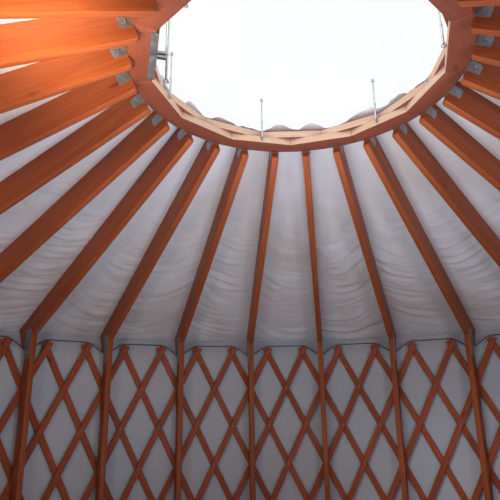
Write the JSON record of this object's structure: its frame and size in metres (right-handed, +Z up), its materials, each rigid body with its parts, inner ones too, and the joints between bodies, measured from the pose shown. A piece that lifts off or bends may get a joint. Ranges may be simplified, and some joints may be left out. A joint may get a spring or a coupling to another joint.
{
  "type": "lattice-wall yurt with a domed skylight",
  "caption": "Round timber yurt: lattice wall, studs and square rafters to a two-layer roof ring, cloth lining and cover, domed skylight and open doorway.",
  "frame": {"origin": "on the ground, at the centre of the round plan", "axes": "+Z up; the doorway is centred on -Y; +X is to the right for someone who looks in through the doorway"},
  "size_m": [5.1184, 5.1184, 3.5314],
  "materials": {
    "lattice_wood": "stained softwood slats, satin",
    "rafter_wood": "oiled red-brown softwood, satin",
    "ring_wood": "stained below, raw pale wood on the inner faces",
    "lining_cloth": "matt woven lining, wrinkled",
    "wall_cover_cloth": "coated canvas, matt",
    "roof_cover_cloth": "coated cloth, satin",
    "bracket_steel": "galvanised, dull",
    "cable_steel": "stranded wire rope",
    "rod_steel": "zinc plated",
    "dome_acrylic": "translucent white acrylic",
    "door_frame_wood": "oiled softwood, satin"
  },
  "bodies": {
    "root": {"lattice_panel_1": "lattice_wood", "lattice_panel_2": "lattice_wood", "lattice_panel_3": "lattice_wood", "lattice_panel_4": "lattice_wood", "lattice_panel_5": "lattice_wood", "lattice_panel_6": "lattice_wood", "lattice_panel_7": "lattice_wood", "lattice_panel_8": "lattice_wood", "wall_cover_1": "wall_cover_cloth", "wall_cover_2": "wall_cover_cloth", "wall_cover_3": "wall_cover_cloth", "wall_cover_4": "wall_cover_cloth", "wall_cover_5": "wall_cover_cloth", "wall_cover_6": "wall_cover_cloth", "wall_cover_7": "wall_cover_cloth", "wall_cover_8": "wall_cover_cloth", "wall_cover_over_door": "wall_cover_cloth", "roof_cover_1": "roof_cover_cloth", "roof_cover_2": "roof_cover_cloth", "roof_cover_3": "roof_cover_cloth", "roof_cover_4": "roof_cover_cloth", "roof_cover_5": "roof_cover_cloth", "roof_cover_6": "roof_cover_cloth", "roof_cover_7": "roof_cover_cloth", "roof_cover_8": "roof_cover_cloth", "rafters_front_left": "rafter_wood", "rafters_back_left": "rafter_wood", "rafters_back_right": "rafter_wood", "rafters_front_right": "rafter_wood", "wall_studs_left": "rafter_wood", "wall_studs_right": "rafter_wood", "wall_lining": "lining_cloth", "roof_lining": "lining_cloth", "rafter_brackets": "bracket_steel", "stud_straps": "bracket_steel", "ring_lower_layer": "ring_wood", "ring_upper_layer": "ring_wood", "tension_cable": "cable_steel", "skylight_dome": "dome_acrylic", "dome_hold_down_rods": "rod_steel", "opener_channel": "rod_steel", "opener_screw": "rod_steel", "door_jamb_left": "door_frame_wood", "door_jamb_right": "door_frame_wood", "door_header": "door_frame_wood", "door_threshold": "door_frame_wood"}
  },
  "joints": []
}
